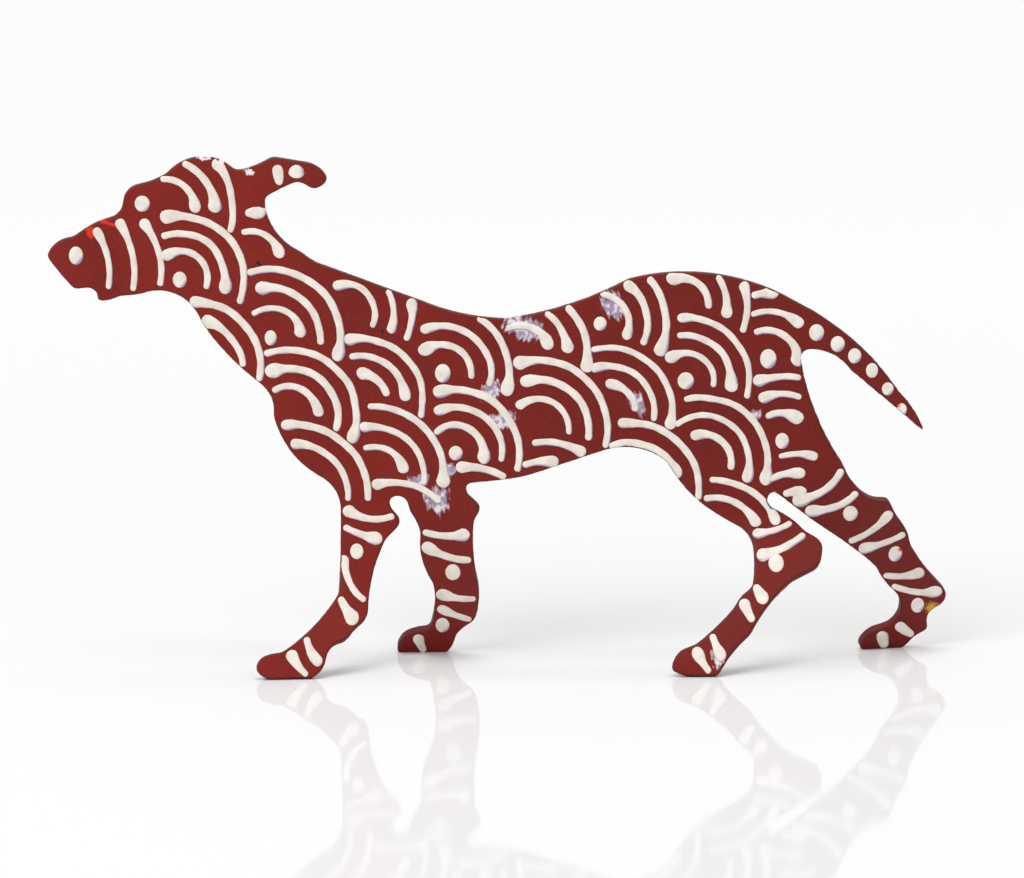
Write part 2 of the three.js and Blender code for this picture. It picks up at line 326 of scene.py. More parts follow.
@dataclass
class FineOutline:
    """The cut edge at a fine step, with the small wander and drag of a hand cut."""

    edge: CutEdge = field(default_factory=CutEdge)
    step: float = 1.1
    soften: int = 3
    wander: float = 0.16
    drag: float = 0.1
    rump_drag: float = 2.2
    arc_step: float = 0.5
    least_sag: float = 0.25
    room_reach: float = 4.5
    room_share: float = 0.36

    def __post_init__(self) -> None:
        """Samples the arcs, rounds the corners and works out normals and runs."""
        ring = self._evenly(self._arcs())
        for _ in range(self.soften):
            ring = [
                ((a[0] + 2 * b[0] + c[0]) / 4, (a[1] + 2 * b[1] + c[1]) / 4)
                for a, b, c in neighbours(ring)
            ]
        ring = self._evenly(ring)
        inward = self._inward(ring)
        rough = []
        for (x, z), (nx, nz) in zip(ring, inward):
            rump = self.rump_drag if x > 125 and 75 < z < 140 else 1.0
            slow, quick = sway(x, z, 0.09, 0.0), sway(x, z, 0.55, 5.0)
            move = self.wander * slow + self.drag * rump * quick
            rough.append((x + nx * move, z + nz * move))
        self.points: list[Point] = rough
        self.inward: list[Point] = self._inward(rough)
        self.runs = run_lengths(rough)
        self.tree = KDTree(len(rough))
        for i, (x, z) in enumerate(rough):
            self.tree.insert((x, 0.0, z), i)
        self.tree.balance()
        self.room = self._room()

    def _arcs(self) -> list[Point]:
        """The exact arcs of the edge, closely sampled."""
        rows = self.edge.rows()
        points: list[Point] = []
        for (x0, z0, sag), (x1, z1, _) in zip(rows, rows[1:] + rows[:1]):
            chord = math.dist((x0, z0), (x1, z1))
            ax, az = (x1 - x0) / chord, (z1 - z0) / chord
            steps = max(2, int(chord / self.arc_step))
            if abs(sag) < self.least_sag:
                points += [
                    (x0 + ax * chord * i / steps, z0 + az * chord * i / steps) for i in range(steps)
                ]
                continue
            radius = (chord * chord / 4 + sag * sag) / (2 * abs(sag))
            half = math.asin(min(1.0, chord / (2 * radius)))
            for i in range(steps):
                angle = -half + 2 * half * i / steps
                run = chord / 2 + radius * math.sin(angle)
                rise = math.copysign(radius * (math.cos(angle) - math.cos(half)), sag)
                points.append((x0 + ax * run - az * rise, z0 + az * run + ax * rise))
        return points

    def _evenly(self, ring: list[Point]) -> list[Point]:
        """The same ring with its points one step apart."""
        closed = ring + ring[:1]
        runs = run_lengths(closed)
        count = int(runs[-1] / self.step)
        even, j = [], 0
        for i in range(count):
            want = runs[-1] * i / count
            while runs[j + 1] < want:
                j += 1
            f = (want - runs[j]) / max(runs[j + 1] - runs[j], 1e-9)
            a, b = closed[j], closed[j + 1]
            even.append((a[0] + (b[0] - a[0]) * f, a[1] + (b[1] - a[1]) * f))
        return even

    @staticmethod
    def _inward(ring: list[Point]) -> list[Point]:
        """Unit normals into the sheet, for a ring that runs clockwise."""
        normals = []
        for a, _, c in neighbours(ring):
            dx, dz = c[0] - a[0], c[1] - a[1]
            size = math.hypot(dx, dz) or 1.0
            normals.append((dz / size, -dx / size))
        return normals

    def _room(self) -> list[float]:
        """For each point, how much of the full inset its place has room for, from 0 to 1."""
        least_depth, spread = 0.05, 1.3
        room = []
        for (x, z), (nx, nz) in zip(self.points, self.inward):
            width = self.room_reach
            for spot, _, _ in self.tree.find_range((x, 0.0, z), width):
                dx, dz = spot[0] - x, spot[2] - z
                deep = dx * nx + dz * nz
                if deep > least_depth and abs(dx * nz - dz * nx) < spread * deep:
                    width = min(width, deep)
            room.append(min(1.0, width * self.room_share / FULL_INSET))
        for _ in range(2):
            room = [min(a, b, c) * 0.5 + b * 0.5 for a, b, c in neighbours(room)]
        return room

    def inset(self, x: float, z: float) -> tuple[float, Point]:
        """How far inside the edge a point is, and the direction further in."""
        spot, i, far = self.tree.find((x, 0.0, z))
        nx, nz = self.inward[i]
        deep = (x - spot[0]) * nx + (z - spot[2]) * nz
        return (far if deep > 0 else -far), (nx, nz)


# ---------------------------------------------------------------------------- finishes


def linear(red: int, green: int, blue: int) -> tuple[float, float, float, float]:
    """A display colour from 0 to 255 as the linear colour that a shader takes."""
    def one(value: int) -> float:
        """One channel of the colour."""
        part = value / 255
        return part / 12.92 if part <= 0.04045 else ((part + 0.055) / 1.055) ** 2.4
    return one(red), one(green), one(blue), 1.0


class Graph:
    """A thin hand for adding and linking shader nodes in one tree."""

    def __init__(self, tree: bpy.types.NodeTree) -> None:
        """Keeps the tree that nodes are added to."""
        self.tree = tree

    @classmethod
    def emptied(cls, owner: bpy.types.Material | bpy.types.World) -> "Graph":
        """A graph on the emptied node tree of a material or world."""
        owner.use_nodes = True
        owner.node_tree.nodes.clear()
        return cls(owner.node_tree)

    def add(self, kind: str, inputs: dict | None = None, **settings: object) -> bpy.types.Node:
        """Adds a node.

        Args:
            kind: the node's type name.
            inputs: socket name or number to a value, or to an output socket to link.
            settings: properties of the node itself.

        Returns:
            The new node.
        """
        node = self.tree.nodes.new(kind)
        for name, value in settings.items():
            setattr(node, name, value)
        for name, value in (inputs or {}).items():
            if isinstance(value, Socket):
                self.tree.links.new(value, node.inputs[name])
            else:
                node.inputs[name].default_value = value
        return node

    def math(self, operation: str, a: object, b: object, clamp: bool = False) -> Socket:
        """The output of a Math node on two values or sockets."""
        node = self.add("ShaderNodeMath", {0: a, 1: b}, operation=operation, use_clamp=clamp)
        return node.outputs[0]

    def vector(self, operation: str, a: object, b: object) -> Socket:
        """The output of a Vector Math node on two vectors or sockets."""
        return self.add("ShaderNodeVectorMath", {0: a, 1: b}, operation=operation).outputs[0]

    def texture(self, where: Socket, scale: object, detail: float, rough: float = 0.5) -> Socket:
        """The value of a noise texture at a place."""
        return self.add("ShaderNodeTexNoise", {
            "Vector": where, "Scale": scale, "Detail": detail, "Roughness": rough}).outputs[0]

    def attribute(self, name: str) -> Socket:
        """A mesh attribute as a value."""
        return self.add("ShaderNodeAttribute", attribute_name=name).outputs["Fac"]

    def place(self) -> Socket:
        """The object coordinates of the shaded point."""
        return self.add("ShaderNodeTexCoord").outputs["Object"]

    def surface(self, inputs: dict[str, object]) -> None:
        """Adds the surface shader and makes it the material's output."""
        shader = self.add("ShaderNodeBsdfPrincipled", inputs)
        self.add("ShaderNodeOutputMaterial", {"Surface": shader.outputs[0]})

    def mix(self, factor: object, a: object, b: object) -> Socket:
        """The colour between a and b at a factor."""
        node = self.add("ShaderNodeMix", data_type="RGBA")
        for index, value in ((0, factor), (6, a), (7, b)):
            if isinstance(value, Socket):
                self.tree.links.new(value, node.inputs[index])
            else:
                node.inputs[index].default_value = value
        return node.outputs[2]

    def ramp(self, value: object, low: float, high: float,
             to_low: float = 0.0, to_high: float = 1.0) -> Socket:
        """A value smoothly remapped from low..high to to_low..to_high."""
        node = self.add("ShaderNodeMapRange", {0: value, 1: low, 2: high, 3: to_low, 4: to_high})
        node.interpolation_type = "SMOOTHSTEP"
        return node.outputs[0]


def new_group(name: str, inputs: dict[str, tuple[str, object]], outputs: Sequence[str],
              ) -> tuple[bpy.types.NodeTree, Graph, Sequence[Socket], Sequence[Socket]]:
    """Starts a shader node group.

    Args:
        name: the group's name.
        inputs: input name to its socket type and default.
        outputs: the names of its outputs, which are all values.

    Returns:
        The group, a Graph on it, the sockets that bring its inputs and those that take its outputs.
    """
    group = bpy.data.node_groups.new(name, "ShaderNodeTree")
    for label, (kind, default) in inputs.items():
        socket = group.interface.new_socket(label, in_out="INPUT", socket_type=kind)
        if default is not None:
            socket.default_value = default
    for label in outputs:
        group.interface.new_socket(label, in_out="OUTPUT", socket_type="NodeSocketFloat")
    graph = Graph(group)
    start, end = graph.add("NodeGroupInput"), graph.add("NodeGroupOutput")
    return group, graph, start.outputs, end.inputs


class Effects:
    """The shader groups that more than one finish uses."""

    def __init__(self) -> None:
        """Builds each group once."""
        self.mottle = self._mottle()
        self.patch = self._patch()

    @staticmethod
    def _mottle() -> bpy.types.NodeTree:
        """Uneven, hand-brushed paint: a slow cloud, a fine grain and the two as a height."""
        group, g, start, end = new_group(
            "uneven_paint",
            {"Vector": ("NodeSocketVector", None), "Cloud Scale": ("NodeSocketFloat", 40.0),
             "Grain Scale": ("NodeSocketFloat", 900.0)},
            ("Cloud", "Grain", "Height"),
        )
        cloud = g.texture(start["Vector"], start["Cloud Scale"], 4.0)
        grain = g.texture(start["Vector"], start["Grain Scale"], 2.0)
        height = g.math("ADD", g.math("MULTIPLY", cloud, 0.6), g.math("MULTIPLY", grain, 0.4))
        for name, socket in (("Cloud", cloud), ("Grain", grain), ("Height", height)):
            g.tree.links.new(socket, end[name])
        return group

    @staticmethod
    def _patch() -> bpy.types.NodeTree:
        """A ragged patch about a place on the dog, for smears, chips and splashes."""
        group, g, start, end = new_group(
            "ragged_patch",
            {"Vector": ("NodeSocketVector", None), "Place": ("NodeSocketVector", (0.0, 0.0, 0.0)),
             "Size": ("NodeSocketVector", (0.01, 1.0, 0.01)), "Turn": ("NodeSocketFloat", 0.0),
             "Streak": ("NodeSocketVector", (1.0, 0.0, 1.0)), "Cover": ("NodeSocketFloat", 0.5)},
            ("Mask",),
        )
        away = g.vector("SUBTRACT", start["Vector"], start["Place"])
        turned = g.add("ShaderNodeVectorRotate", {"Vector": away, "Angle": start["Turn"]},
                       rotation_type="Y_AXIS").outputs[0]
        flat = g.vector("MULTIPLY", g.vector("DIVIDE", turned, start["Size"]), (1.0, 0.0, 1.0))
        length = g.add("ShaderNodeVectorMath", {0: flat}, operation="LENGTH").outputs["Value"]
        near = g.math("SUBTRACT", 1.0, length, clamp=True)
        grain = g.texture(g.vector("MULTIPLY", turned, start["Streak"]), 1000.0, 3.0)
        total = g.math("ADD", near, g.math("MULTIPLY", g.math("SUBTRACT", grain, 0.5), 1.7))
        edge = g.math("SUBTRACT", 1.0, start["Cover"])
        mask = g.add("ShaderNodeMapRange", {
            0: total, 1: edge, 2: g.math("ADD", edge, 0.3), 3: 0.0, 4: 1.0}).outputs[0]
        gate = g.math("MULTIPLY", mask, g.math("MULTIPLY", near, 6.0, clamp=True))
        g.tree.links.new(gate, end["Mask"])
        return group


@dataclass(frozen=True)
class Patch:
    """A smear, chip or splash on the flat sheet, in millimetres.

    streak is the grain's fineness across and along the patch, in grains a millimetre.
    """

    x: float
    z: float
    wide: float
    tall: float
    turn: float
    streak: Point
    cover: float

    def mask(self, g: Graph, effects: Effects, where: Socket, offset: Vector) -> Socket:
        """Adds the patch to a material.

        Args:
            g: the material's graph.
            effects: the shared shader groups.
            where: object coordinates.
            offset: the sheet's shift in the row frame, in metres.

        Returns:
            The socket that is 1 where the patch covers.
        """
        return g.add("ShaderNodeGroup", {
            "Vector": where, "Place": (self.x * MM + offset.x, 0.0, self.z * MM + offset.z),
            "Size": (self.wide * MM, 1.0, self.tall * MM), "Turn": math.radians(self.turn),
            "Streak": (self.streak[0], 0.0, self.streak[1]), "Cover": self.cover,
        }, node_tree=effects.patch).outputs[0]


@dataclass(frozen=True)
class RedGround:
    """Dark red-brown house paint over steel, worn to bare metal along the arrises."""

    head_tone: tuple = linear(130, 32, 23)
    tail_tone: tuple = linear(113, 27, 19)
    deep: tuple = linear(95, 21, 17)
    fleck: tuple = linear(150, 62, 50)
    edge: tuple = linear(96, 28, 24)
    steel: tuple = linear(58, 52, 52)
    smear: tuple = linear(158, 140, 166)
    smear_light: tuple = linear(226, 219, 224)
    chip: tuple = linear(232, 226, 226)
    splash: tuple = linear(214, 50, 22)
    gilt: tuple = linear(206, 160, 50)
    nick: tuple = linear(34, 26, 28)
    roughness: float = 0.42
    smears: tuple[Patch, ...] = (
        Patch(11, 152, 14, 7, -20, (0.5, 0.16), 0.78), Patch(50, 162, 6, 9, 25, (0.7, 0.14), 0.8),
        Patch(-4, 124, 7, 6, 40, (0.6, 0.3), 0.75), Patch(1, 111, 8, 5, 10, (0.5, 0.2), 0.8),
        Patch(-23, 89, 5, 4, -30, (0.6, 0.2), 0.8), Patch(-28, 75, 8, 9, 15, (0.5, 0.16), 0.72),
        Patch(-36, 84, 7, 4, 0, (0.5, 0.2), 0.7), Patch(96, 9, 4, 7, 0, (0.8, 0.3), 0.75),
        Patch(61, 118, 5, 9, 20, (0.7, 0.12), 0.6), Patch(112, 113, 6, 4, 0, (0.5, 0.2), 0.6),
    )
    far_smears: tuple[Patch, ...] = (
        Patch(-58, 150, 8, 5, 30, (0.5, 0.16), 0.75), Patch(40, 128, 6, 5, -10, (0.6, 0.2), 0.72),
        Patch(118, 140, 7, 5, 20, (0.5, 0.16), 0.72), Patch(-128, 195, 5, 4, 0, (0.6, 0.2), 0.7),
    )
    chips: tuple[Patch, ...] = (
        Patch(-130, 228.4, 4.5, 1.8, 0, (0.7, 0.9), 0.8),
        Patch(-122.8, 226.0, 2.4, 2.0, 30, (0.9, 0.9), 0.8),
        Patch(-110.2, 221.9, 3.0, 2.0, -20, (0.9, 0.9), 0.8),
        Patch(-103.6, 204.5, 1.6, 2.4, 0, (0.9, 0.9), 0.8),
        Patch(8, 154, 8, 3, -15, (0.6, 0.3), 0.62),
        Patch(121.5, 77.0, 2.2, 2.0, 0, (0.9, 0.9), 0.7),
    )
    splashes: tuple[Patch, ...] = (
        Patch(-180.4, 195.4, 3.0, 3.6, 20, (0.7, 0.7), 0.85),
        Patch(-174, 200.0, 9.0, 1.6, -22, (0.4, 0.6), 0.6),
    )
    gilts: tuple[Patch, ...] = (Patch(194, 19, 5.5, 5.0, 0, (1.3, 1.3), 0.62),)
    nicks: tuple[Patch, ...] = (
        Patch(-106.5, 181.5, 1.8, 0.9, -40, (0.8, 0.8), 0.9),
        Patch(-52, 151, 0.8, 1.4, 10, (0.9, 0.9), 0.8),
        Patch(30, 105, 1.2, 0.7, 30, (0.9, 0.9), 0.8), Patch(-150, 190, 0.9, 0.7, 0, (0.9, 0.9), 0.8),
    )

    def build(self, effects: Effects, offset: Vector) -> bpy.types.Material:
        """Makes the material.

        Args:
            effects: the shared shader groups.
            offset: the sheet's shift in the row frame, in metres.

        Returns:
            The finished material.
        """
        material = bpy.data.materials.new("red_ground_paint")
        g = Graph.emptied(material)
        where = g.place()
        paint = g.add("ShaderNodeGroup", {"Vector": where, "Cloud Scale": 24.0, "Grain Scale": 1300.0},
                      node_tree=effects.mottle)
        along_x = g.add("ShaderNodeSeparateXYZ", {0: where}).outputs[0]
        # the red ground is lighter toward the head and darker toward the tail
        colour = g.mix(g.ramp(along_x, -0.2, 0.16), self.head_tone, self.tail_tone)
        for output, low, high, to_low, to_high, tint in (
            ("Cloud", 0.4, 0.78, 0.0, 0.45, self.deep), ("Grain", 0.56, 0.78, 0.0, 0.35, self.fleck),
            ("Grain", 0.24, 0.44, 0.35, 0.0, self.deep),
        ):
            amount = g.ramp(paint.outputs[output], low, high, to_low, to_high)
            colour = g.mix(amount, colour, tint)
        wall, arris, run, near = (g.attribute(name) for name in ("wall", "arris", "run", "near"))
        colour = g.mix(g.math("MULTIPLY", wall, 0.75), colour, self.edge)
        tone = g.ramp(g.texture(where, 420.0, 2.0), 0.4, 0.62)
        violet = g.mix(tone, self.smear, self.smear_light)
        far = g.math("SUBTRACT", 1.0, near)
        for patches, tint, face in (
            (self.smears, violet, near), (self.far_smears, violet, far),
            (self.splashes, self.splash, near), (self.gilts, self.gilt, near),
            (self.chips, self.chip, near), (self.nicks, self.nick, near),
        ):
            for patch in patches:
                mask = g.math("MULTIPLY", patch.mask(g, effects, where, offset), face)
                colour = g.mix(mask, colour, tint)
        wear = g.ramp(g.texture(where, 90.0, 5.0, 0.65), 0.46, 0.56)
        worn = g.math("MULTIPLY", g.ramp(arris, 0.45, 0.9), wear)
        colour = g.mix(worn, colour, self.steel)
        rough = g.math("ADD", g.math("MULTIPLY", paint.outputs["Cloud"], 0.2), self.roughness - 0.1)
        rough = g.math("ADD", rough, g.math("MULTIPLY", wall, 0.12))
        across = g.add("ShaderNodeCombineXYZ", {"X": run}).outputs[0]
        drag = g.math("MULTIPLY", g.math("MULTIPLY", g.texture(across, 900.0, 2.0), wall), 1.4)
        height = g.math("ADD", paint.outputs["Height"], drag)
        bump = g.add("ShaderNodeBump", {"Strength": 0.35, "Distance": 0.0003, "Height": height})
        g.surface({
            "Base Color": colour, "Roughness": rough, "Metallic": g.math("MULTIPLY", worn, 0.7),
            "Normal": bump.outputs[0], "Specular IOR Level": 0.18})
        return material


@dataclass(frozen=True)
class CreamPaint:
    """Thick cream paint laid in beads, greying to violet on the lower right rim of each bead and dot:
    thinly laid paint there, and painted shade.
    """

    base: tuple = linear(240, 233, 223)
    shade: tuple = linear(225, 215, 203)
    # violet-grey: thinly laid paint, and painted shade on the lower right rims of beads and dots
    thin_paint_and_painted_shade: tuple = linear(152, 140, 172)
    splash: tuple = linear(226, 92, 60)
    roughness: float = 0.5
    splashes: tuple[Patch, ...] = (
        Patch(179, 49, 3.0, 2.4, 20, (0.8, 0.8), 0.62), Patch(119, 162, 3.0, 2.2, 0, (0.8, 0.8), 0.62),
        Patch(176, 117, 2.4, 2.4, 0, (0.9, 0.9), 0.6), Patch(168, 127, 2.0, 2.0, 0, (0.9, 0.9), 0.6),
        Patch(133, 158, 2.2, 2.2, 0, (0.9, 0.9), 0.6),
    )

    def build(self, effects: Effects, offset: Vector) -> bpy.types.Material:
        """Makes the material.

        Args:
            effects: the shared shader groups.
            offset: the sheet's shift in the row frame, in metres.

        Returns:
            The finished material.
        """
        material = bpy.data.materials.new("cream_bead_paint")
        g = Graph.emptied(material)
        where = g.place()
        paint = g.add("ShaderNodeGroup", {"Vector": where, "Cloud Scale": 150.0, "Grain Scale": 1900.0},
                      node_tree=effects.mottle)
        colour = g.mix(g.ramp(paint.outputs["Cloud"], 0.35, 0.7), self.base, self.shade)
        colour = g.mix(g.ramp(paint.outputs["Grain"], 0.25, 0.42, 0.35, 0.0), colour, self.shade)
        # painted shade: the lower right rims of beads and dots turn violet-grey, broken into streaks;
        # partly thinly laid paint
        streak = g.ramp(g.texture(where, 60.0, 4.0), 0.42, 0.52)
        mask = g.math("MULTIPLY", g.ramp(g.attribute("thin_paint_and_painted_shade"), 0.1, 0.55), streak)
        colour = g.mix(g.math("MULTIPLY", mask, 0.85), colour, self.thin_paint_and_painted_shade)
        for patch in self.splashes:
            colour = g.mix(patch.mask(g, effects, where, offset), colour, self.splash)
        rough = g.math("ADD", g.math("MULTIPLY", paint.outputs["Cloud"], 0.2), self.roughness - 0.1)
        bump = g.add("ShaderNodeBump", {
            "Strength": 0.3, "Distance": 0.0002, "Height": paint.outputs["Height"]})
        g.surface({
            "Base Color": colour, "Roughness": rough, "Normal": bump.outputs[0],
            "Specular IOR Level": 0.2})
        return material


# ---------------------------------------------------------------------------- the plate


def finished(name: str, bm: bmesh.types.BMesh, material: bpy.types.Material) -> bpy.types.Object:
    """Turns a finished bmesh into a smooth object that rides on the dog.

    Args:
        name: the piece's name.
        bm: the bmesh, in metres in the row frame. It is freed.
        material: the finish of the whole piece.

    Returns:
        The new object.
    """
    mesh = bpy.data.meshes.new(name)
    for face in bm.faces:
        face.smooth = True
    bm.to_mesh(mesh)
    bm.free()
    mesh.materials.append(material)
    piece = bpy.data.objects.new(name, mesh)
    bpy.context.scene.collection.objects.link(piece)
    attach(piece, "root")
    mesh.calc_loop_triangles()
    LOG.info("%s: %d triangles", name, len(mesh.loop_triangles))
    return piece


@dataclass
class DogPlate:
    """The cut and bent sheet with softened arrises and a dragged cut edge."""

    sheet: BentSheet
    outline: FineOutline
    cell: float = 7.0
    low_corner: Point = (-203.0, -2.0)
    extent: Point = (406.0, 234.0)
    near_limit: float = 1.9
    scratch: float = 0.05

    def section(self) -> list[tuple[float, float, float, float]]:
        """Rings from the far face round the edge to the near face.

        Returns:
            Rows of inset, depth, how much the ring is wall and how much it is arris.
        """
        half, radius = self.sheet.thickness / 2, self.sheet.arris_radius
        rows = [(FULL_INSET, half, 0.0, 0.0), (radius, half, 0.05, 0.15)]
        for angle, worn in ((22, 0.6), (45, 1.0), (68, 0.7)):
            turn = math.radians(angle)
            inset, depth = radius * (1 - math.sin(turn)), half - radius * (1 - math.cos(turn))
            rows.append((inset, depth, angle / 90, worn))
        rows += [(0.0, half - radius * 1.15, 1.0, 0.2), (0.0, 0.5, 1.0, 0.0)]
        return rows + [(inset, -depth, wall, arris) for inset, depth, wall, arris in reversed(rows)]

    def build(self, material: bpy.types.Material) -> bpy.types.Object:
        """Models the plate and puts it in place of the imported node.

        Args:
            material: the red ground.

        Returns:
            The plate's object.
        """
        bm = bmesh.new()
        mark = bm.faces.layers.int.new("flat")
        station = bm.verts.layers.int.new("station")
        wall, arris, run, near = (
            bm.verts.layers.float.new(name) for name in ("wall", "arris", "run", "near")
        )
        points, inward, runs = self.outline.points, self.outline.inward, self.outline.runs
        ring = bmesh.ops.create_circle(bm, cap_ends=True, segments=len(points), radius=1.0)["verts"]
        for i, vert in enumerate(ring):
            vert[station], vert[run] = i, runs[i] * MM
        face = next(iter(bm.faces))
        face[mark] = 1
        for k, (inset, depth, wallness, arrisness) in enumerate(self.section()):
            if k > 0:
                made = bmesh.ops.extrude_face_region(bm, geom=[face])["geom"]
                if k > 1:
                    bmesh.ops.delete(bm, geom=[face], context="FACES_ONLY")
                ring = [item for item in made if isinstance(item, bmesh.types.BMVert)]
                face = next(item for item in made if isinstance(item, bmesh.types.BMFace))
            for vert in ring:
                i = vert[station]
                (x, z), (nx, nz) = points[i], inward[i]
                deep = inset * self.outline.room[i]
                rub = noise.noise(Vector((runs[i] * 0.9, depth * 0.5, 9.0)))
                deep += self.scratch * rub * wallness
                vert.co = (x + nx * deep, depth, z + nz * deep)
                vert[wall], vert[arris] = wallness, arrisness
                vert[near] = 1.0 if depth < self.near_limit else 0.0
        face[mark] = 1
        self._cut_cells(bm, mark)
        bmesh.ops.recalc_face_normals(bm, faces=bm.faces)
        bmesh.ops.triangulate(bm, faces=[f for f in bm.faces if len(f.verts) > 4], ngon_method="BEAUTY")
        for vert in bm.verts:
            vert.co = self.sheet.place(vert.co.x, vert.co.z, vert.co.y)
        piece = finished("painted_dog_plate", bm, material)
        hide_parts("dog_plate")
        return piece

    def _cut_cells(self, bm: bmesh.types.BMesh, mark: bmesh.types.BMLayerItem) -> None:
        """Cuts both flat faces into cells, so that they can bend with the legs.

        Args:
            bm: the plate.
            mark: the layer that is 1 on the flat faces.
        """
        low = Vector((self.low_corner[0], 0.0, self.low_corner[1]))
        for axis, extent in ((0, self.extent[0]), (2, self.extent[1])):
            normal = Vector((0.0, 0.0, 0.0))
            normal[axis] = 1.0
            for i in range(1, int(extent / self.cell) + 1):
                level = low.copy()
                level[axis] += i * self.cell
                flats = [f for f in bm.faces if f[mark] == 1]
                crossing = [
                    f for f in flats
                    if min(v.co[axis] for v in f.verts) < level[axis] < max(v.co[axis] for v in f.verts)
                ]
                parts: set = set(crossing)
                for f in crossing:
                    parts.update(f.edges)
                    parts.update(f.verts)
                bmesh.ops.bisect_plane(bm, geom=list(parts), dist=1e-5, plane_co=level, plane_no=normal)


# ---------------------------------------------------------------------------- the painting


@dataclass
class Stroke:
    """One line of paint on the flat sheet, from its fat start to its thin end."""

    path: list[Point]
    width: float
    bulb: float


@dataclass
class Dot:
    """One dot of paint on the flat sheet."""

    x: float
    z: float
    radius: float


@dataclass
class Scale:
    """A scale of nested arcs about a dot, which hides the scales behind it."""

    x: float
    z: float
    facing: float
    radii: tuple[float, ...]


@dataclass
class Ornament:
    """Lays out a plain scale ornament over the dog: nested arcs, bars and dots.

    The scales stand in staggered rows square to facing, and the row in front hides the one
    behind it. The legs get bars with dots between, and the tail a row of shrinking dots.
    """

    outline: FineOutline
    seed: int = 11
    facing: float = 58.0
    across: float = 48.0
    rise: float = 27.0
    radii: tuple[float, ...] = (13.2, 21.6, 30.0)
    origin: Point = (-20.0, 96.0)
    dot: float = 3.5
    line: float = 3.3
    fine: float = 0.8
    strokes: list[Stroke] = field(default_factory=list)
    dots: list[Dot] = field(default_factory=list)

    def __post_init__(self) -> None:
        """Seeds the hand's unevenness and draws everything."""
        self.hand = random.Random(self.seed)
        self.limbs = (
            ((-62, 76), (-65, 42), (-78, 24), (-98, 7)),
            ((-25, 66), (-21, 40), (-21, 20), (-36, 6)),
            ((116, 66), (126, 51), (108, 30), (84, 6)),
            ((137, 84), (160, 64), (181, 42), (188, 24), (182, 11), (168, 5)),
        )
        self._scales()
        self._limbs()
        self._head()
        self._tail()

    def _free(self, x: float, z: float, margin: float) -> bool:
        """Whether a point is inside the cut edge by at least a margin."""
        return self.outline.inset(x, z)[0] > margin

    def _keep(self, path: list[Point], margin: float, hidden: Callable[[float, float], bool],
              shortest: float = 7.0, width: float | None = None) -> None:
        """Keeps the stretches of a path that lie on the sheet and aren't hidden.

        Args:
            path: closely spaced points.
            margin: how far inside the edge the paint stays.
            hidden: whether something in front covers a point.
            shortest: the shortest stretch that is painted.
            width: the width of the line, or None for the usual one.
        """
        run: list[Point] = []
        for point in path + [(9999.0, 9999.0)]:
            if point[0] < 9000 and self._free(point[0], point[1], margin) and not hidden(*point):
                run.append(point)
                continue
            length = sum(math.dist(a, b) for a, b in zip(run, run[1:]))
            if length > shortest:
                size = (width or self.line) * self.hand.uniform(0.88, 1.1)
                self.strokes.append(Stroke(run, size, self.hand.uniform(1.45, 1.95)))
            run = []

    def _on_limb(self, x: float, z: float) -> bool:
        """Whether a point is on the part of a leg, tail, ear or muzzle painted otherwise."""
        foreleg, hind_leg = x < 0 and z < 74, x >= 0 and z < 62
        far_thigh = x > 136 and z < 0.63 * (x - 136) + 90
        tail, muzzle, ear = x > 134 and z > 100, x < -150 and z > 150, x > -108 and z > 208
        return foreleg or hind_leg or far_thigh or tail or muzzle or ear

    def _scales(self) -> None:
        """Draws the staggered scales of the body, neck and head."""
        stray, overlap_reach = 2.2, 75
        turn = math.radians(self.facing)
        up = (math.cos(turn), math.sin(turn))
        along = (up[1], -up[0])
        scales: list[tuple[float, Scale]] = []
        for row in range(-6, 9):
            for column in range(-8, 9):
                shift = (column + 0.5 * (row % 2)) * self.across
                x, z = (
                    self.origin[k] + along[k] * shift + up[k] * row * self.rise
                    + self.hand.uniform(-stray, stray) for k in (0, 1)
                )
                facing = self.facing + self.hand.uniform(-13, 13) - 0.06 * x
                size = self.hand.uniform(0.93, 1.06)
                radii = tuple(radius * size for radius in self.radii)
                scales.append((row + 0.05 * column, Scale(x, z, facing, radii)))
        scales.sort(key=lambda item: item[0])
        for index, (_, scale) in enumerate(scales):
            here = (scale.x, scale.z)
            front = [o for _, o in scales[:index] if math.dist((o.x, o.z), here) < overlap_reach]
            for radius in scale.radii:
                gap = self.hand.choice((1.6, 4.4, 4.8, 5.2))

                def hidden(x: float, z: float, front: list = front, gap: float = gap) -> bool:
                    """Whether a scale in front, or a limb, covers the point."""
                    if self._on_limb(x, z):
                        return True
                    return any(math.dist((x, z), (o.x, o.z)) < o.radii[-1] + gap for o in front)

                reach = self.hand.uniform(92, 112)
                path = []
                steps = int(radius * math.radians(2 * reach) / self.fine)
                wobble = self.hand.uniform(0, 50)
                for i in range(steps + 1):
                    angle = math.radians(scale.facing + reach - 2 * reach * i / steps)
                    size = radius + 0.7 * noise.noise(Vector((wobble, i * 0.06, radius)))
                    path.append((scale.x + size * math.cos(angle), scale.z + size * math.sin(angle)))
                if self.hand.random() < 0.5:
                    path.reverse()
                self._keep(path, 0.5, hidden)
            covered = any(math.dist(here, (o.x, o.z)) < o.radii[-1] + 6 for o in front)
            if self._free(*here, self.dot + 1.0) and not covered and not self._on_limb(*here):
                self.dots.append(Dot(*here, self.dot * self.hand.uniform(0.85, 1.22)))

